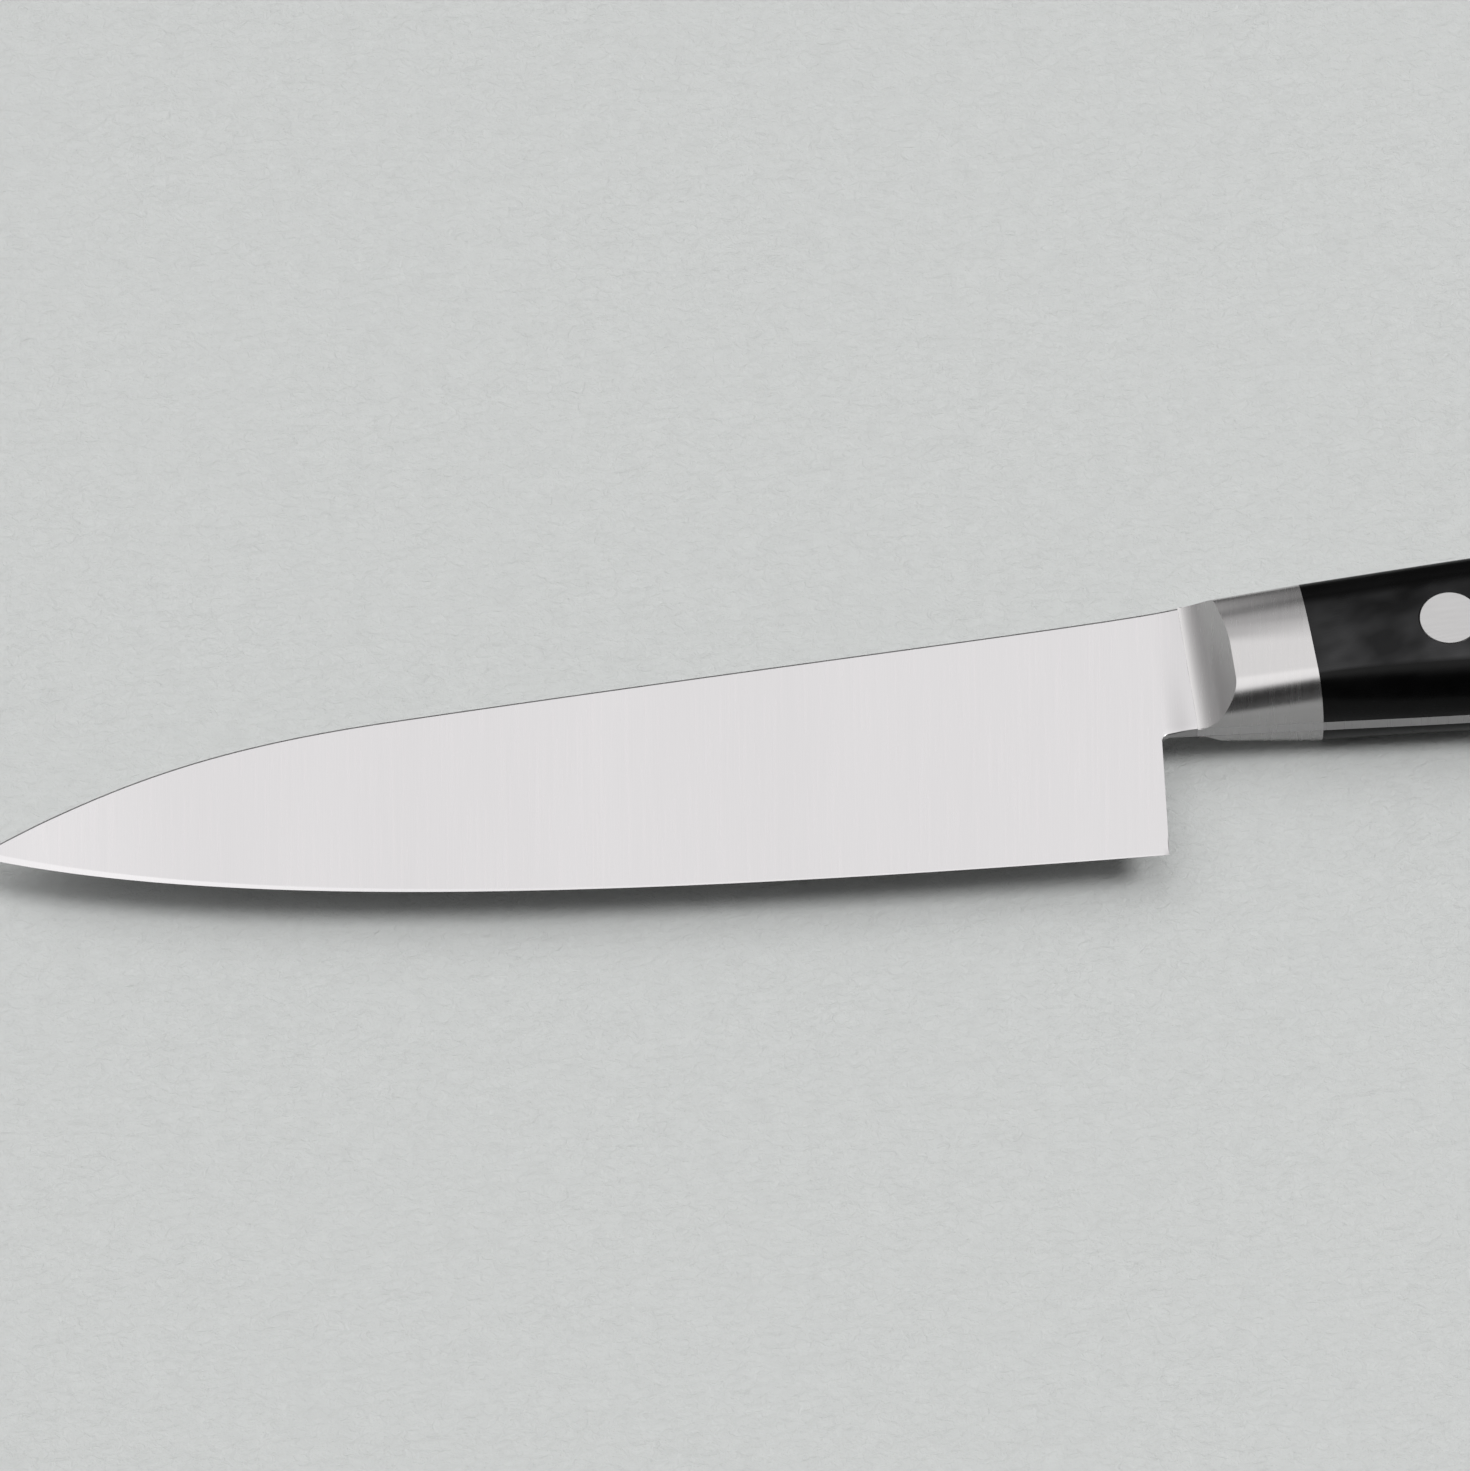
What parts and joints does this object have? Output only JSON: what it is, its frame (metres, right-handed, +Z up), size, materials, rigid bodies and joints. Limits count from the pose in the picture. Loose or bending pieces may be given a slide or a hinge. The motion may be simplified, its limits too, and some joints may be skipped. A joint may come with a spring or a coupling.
{
  "type": "petty knife",
  "caption": "Slim kitchen knife for paring and light slicing: thin pointed blade with a full tang, steel bolster with a concave front, riveted handle of two dark wood scales.",
  "frame": {"origin": "under the middle of the knife, on the surface that it lies on", "axes": "+X from the tip to the butt, +Y from the edge to the spine, +Z up out of the left face of the knife, which lies on its right side"},
  "size_m": [0.2336, 0.0286, 0.0116],
  "materials": {
    "blade_steel": "finely ground across the blade",
    "bolster_steel": "satin polish",
    "scale_wood": "black resin-laminated wood, satin",
    "rivet_steel": "ground flush with the scales"
  },
  "bodies": {
    "root": {"blade": "blade_steel", "bolster_left": "bolster_steel", "bolster_right": "bolster_steel", "scale_left": "scale_wood", "scale_right": "scale_wood", "rivet_1_post": "rivet_steel", "rivet_1_socket": "rivet_steel", "rivet_2_post": "rivet_steel", "rivet_2_socket": "rivet_steel", "rivet_3_post": "rivet_steel", "rivet_3_socket": "rivet_steel"}
  },
  "joints": []
}
